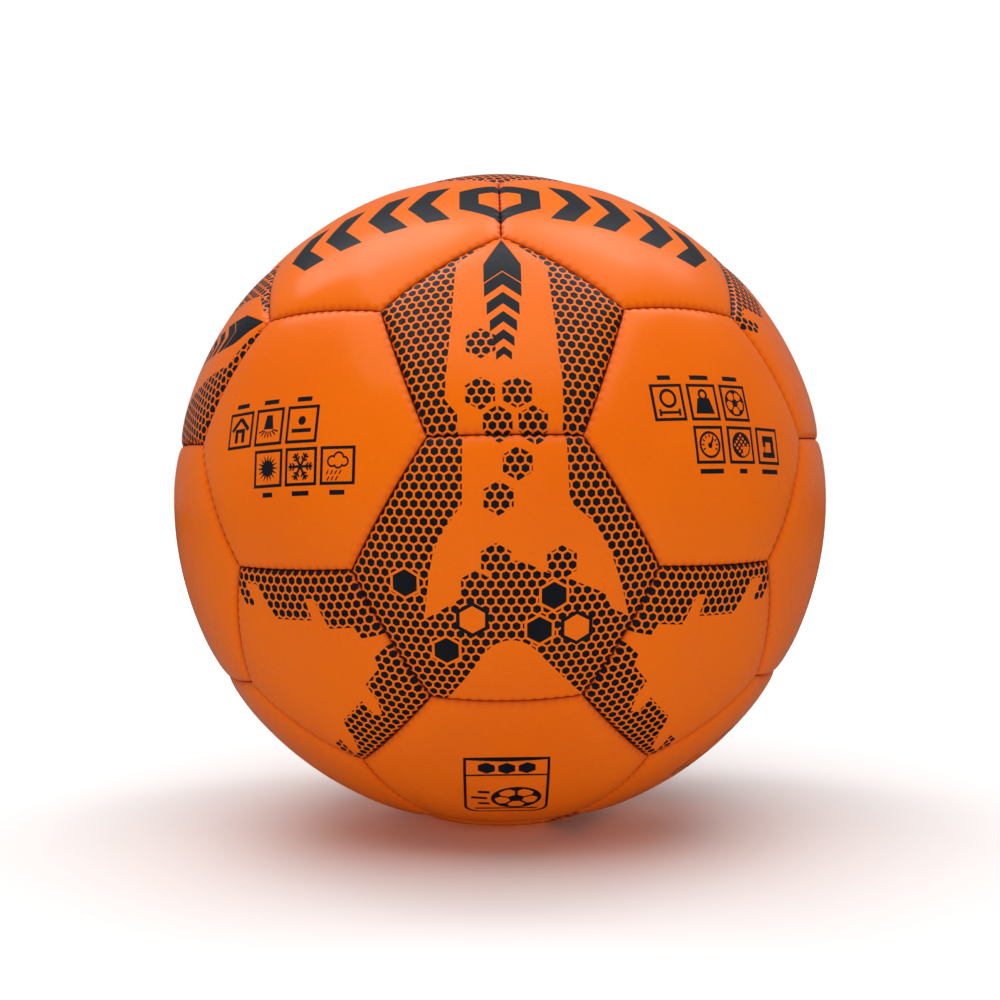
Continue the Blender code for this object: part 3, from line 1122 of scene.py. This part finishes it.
def add_bladder(axis, finish):
    """The hollow bladder, open for the valve."""
    rows = 60
    mouth = math.asin(MOUTH / BLADDER_OUT)
    walls = []
    for radius in (BLADDER_OUT, BLADDER_IN):
        turns = [math.pi + (mouth - math.pi) * row / rows for row in range(1, rows + 1)]
        wall = [(radius * math.sin(turn), radius * math.cos(turn)) for turn in turns]
        walls.append([(0.0, -radius)] + wall)
    piece = lathe("inner_bladder", walls[0] + walls[1][::-1], axis, 96, finish)
    stand_in(piece, "bladder")


def add_valve(axis, body_finish, core_finish, patch_finish):
    """The valve's rubber body, the plug in it, and the cloth patch behind the cover."""
    outs = (4.5, 7.0, 9.0, 11.5, 14.0)
    body = [(2.8, 80.0), (4.5, 80.0)]
    body += [on_sphere(89.1, out) for out in outs] + [on_sphere(90.1, out) for out in reversed(outs)]
    body += [(4.5, 93.5), (3.6, 93.5), (3.6, 92.3), (2.8, 92.3)]
    shell = lathe("valve_housing", rounded(body, 0.22), axis, 64, body_finish)
    stand_in(shell, "valve_body")
    core = [(0.0, 79.0), (1.9, 79.0), (2.35, 79.6), (2.5, 80.4), (2.5, 92.6), (3.1, 92.6), (3.3, 92.8),
        (3.3, 93.15), (3.22, 93.3), (3.05, 93.4), (1.5, 93.4), (1.2, 93.25), (0.85, 93.2),
        (0.7, 93.1), (0.7, 82.4), (0.0, 82.4)]
    plug = lathe("valve_plug", core, axis, 64, core_finish)
    stand_in(plug, "valve_core", "valve_core")
    outs = (4.9, 8.0, 12.0, 16.0, 20.0)
    cloth = [on_sphere(90.4, out) for out in outs] + [on_sphere(90.9, out) for out in reversed(outs)]
    patch = lathe("valve_backing", rounded(cloth, 0.12, 3), axis, 72, patch_finish)
    stand_in(patch, "valve_patch")


# Studio

CAMERA_RADII = 5.0
CAMERA_LENS = 57.5
BALL_TURN = (0.42, -0.61, 0.88)
FLOOR_HALF = 8.0
SKY_LIGHT = 0.25
WHITE = (1.0, 1.0, 1.0, 1.0)

# Softboxes aimed at the ball: name, place, size, power, and whether it shows in the gloss.
SOFTBOXES = (
    ("overhead", (-0.05, -0.25, 1.08), (1.6, 1.5), 15.5, True),
    ("left_strip", (-0.42, 0.25, 0.95), (0.3, 0.8), 1.8, True),
    ("right_strip", (0.42, 0.25, 0.95), (0.3, 0.8), 1.8, True),
    ("front_fill", (0.0, -1.5, 0.2), (0.6, 0.6), 4.2, False),
    ("back_fill", (0.0, 1.4, 0.5), (0.6, 0.6), 3.5, False),
)


def add_camera():
    """A camera at the height of the ball's middle, with the ball turned a little from it."""
    camera = new_object("camera", bpy.data.cameras.new("camera"))
    camera.data.lens = CAMERA_LENS
    turn = Euler([math.radians(angle) for angle in BALL_TURN], "XYZ").to_matrix().inverted()
    level = Matrix(((1, 0, 0), (0, 0, -1), (0, 1, 0)))
    place = turn @ Vector((0, -CAMERA_RADII * RADIUS * MM, 0))
    camera.matrix_world = Matrix.Translation(place) @ (turn @ level).to_4x4()
    bpy.context.scene.camera = camera


def camera_sees(tree, seen, unseen, end):
    """Gives the camera's own rays one shader and all other rays another."""
    path = add_node(tree, "LightPath")
    mix = add_node(tree, "MixShader")
    feed(mix, "Fac", path.outputs["Is Camera Ray"])
    feed(mix, 1, unseen.outputs[0])
    feed(mix, 2, seen.outputs[0])
    feed(end, "Surface", mix.outputs["Shader"])


def add_floor():
    """A wide pale floor, glowing more towards its far edges. Its mirror image in the ball is kept dim."""
    low = cad_low.z - 0.0001
    corners = [(x, y, low) for x, y in box(-FLOOR_HALF, -FLOOR_HALF, FLOOR_HALF, FLOOR_HALF)]
    made, tree, shader = new_material("pale_floor", (0.9, 0.9, 0.9), 0.8, 0.2)
    where = add_node(tree, "TexCoord")
    away = add_node(tree, "VectorMath", operation="LENGTH")
    feed(away, 0, where.outputs["Object"])
    glow = ranged(away.outputs["Value"], 0.0, 1.0, 0.15, 1.1)
    shader.inputs["Emission Color"].default_value = WHITE
    feed(shader, "Emission Strength", glow)
    path = add_node(tree, "LightPath")
    dim = add_node(tree, "BsdfPrincipled", {"Roughness": 1.0, "Emission Color": WHITE})
    thrown = mixed(path.outputs["Is Glossy Ray"], (0.55, 0.55, 0.55), (0.12, 0.12, 0.12))
    feed(dim, "Base Color", thrown)
    # The floor glows faintly in the light that it throws onto the ball: painted bounce light from below.
    lift = ranged(path.outputs["Is Diffuse Ray"], 0.0, 0.27, 0.0, 1.0)
    feed(dim, "Emission Strength", lift)
    camera_sees(tree, shader, dim, tree.nodes["Material Output"])
    make_object("studio_floor", corners, [(0, 1, 2, 3)], [made])


def add_sky():
    """A white studio round the ball, dimmer as light than as a backdrop."""
    world = bpy.data.worlds.new("studio")
    world.use_nodes = True
    bpy.context.scene.world = world
    tree = world.node_tree
    lit = tree.nodes["Background"]
    lit.inputs["Color"].default_value = WHITE
    lit.inputs["Strength"].default_value = SKY_LIGHT
    backdrop = add_node(tree, "Background", {"Color": WHITE, "Strength": 1.0})
    camera_sees(tree, backdrop, lit, tree.nodes["World Output"])


def add_studio():
    add_sky()
    add_floor()
    for name, place, size, power, shows in SOFTBOXES:
        softbox = new_object(name, bpy.data.lights.new(name, "AREA"))
        softbox.data.shape = "RECTANGLE"
        softbox.data.size, softbox.data.size_y = size
        softbox.data.energy = power
        softbox.location = place
        softbox.rotation_mode = "QUATERNION"
        softbox.rotation_quaternion = (-Vector(place)).to_track_quat("-Z", "Y")
        softbox.visible_glossy = shows
    bpy.context.scene.view_settings.view_transform = "Standard"


def node_direction(name):
    low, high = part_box(name)
    return ((low + high) / 2).normalized()


def nearest_panel(out):
    """The CAD panel that lies in a direction."""
    names = [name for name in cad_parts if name.startswith("panel_")]
    return max(names, key=lambda name: node_direction(name).dot(out))


def main():
    pentagons = pentagon_directions()
    corners = seam_corners(pentagons)
    middles = list(pentagons)
    for trio in combinations(pentagons, 3):
        if max((a - b).length for a, b in combinations(trio, 2)) < NEIGHBOUR:
            middles.append(sum(trio, Vector((0, 0, 0))).normalized())
    panels = {}
    for out in middles:
        name = nearest_panel(out)
        panels[name] = Panel(name, out, corners)
    valve_panel = nearest_panel(node_direction("valve_patch"))
    axis = Vector(panels[valve_panel].axes[2])
    lining = woven_cloth("lining_cloth", (0.72, 0.70, 0.64), (0.5, 0.48, 0.43), 2200)
    covers = [orange_cover(), printed_ink(), lining]
    chosen = prints(panels)
    chosen[valve_panel] = valve_ring()
    known = {}
    for name, panel in sorted(panels.items()):
        add_panel(panel, chosen.get(name, []), name == valve_panel, covers, known)
    add_threads(corners, panels, waxed_thread())
    add_bladder(axis, rubber("latex_rubber", (0.028, 0.028, 0.03), 0.5, 600.0))
    add_valve(
        axis,
        rubber("valve_rubber", (0.018, 0.018, 0.02), 0.55, 2500.0),
        rubber("plug_rubber", (0.024, 0.024, 0.026), 0.5, 3000.0),
        woven_cloth("patch_cloth", (0.72, 0.70, 0.64), (0.48, 0.46, 0.42), 2200),
    )
    add_camera()
    add_studio()


main()
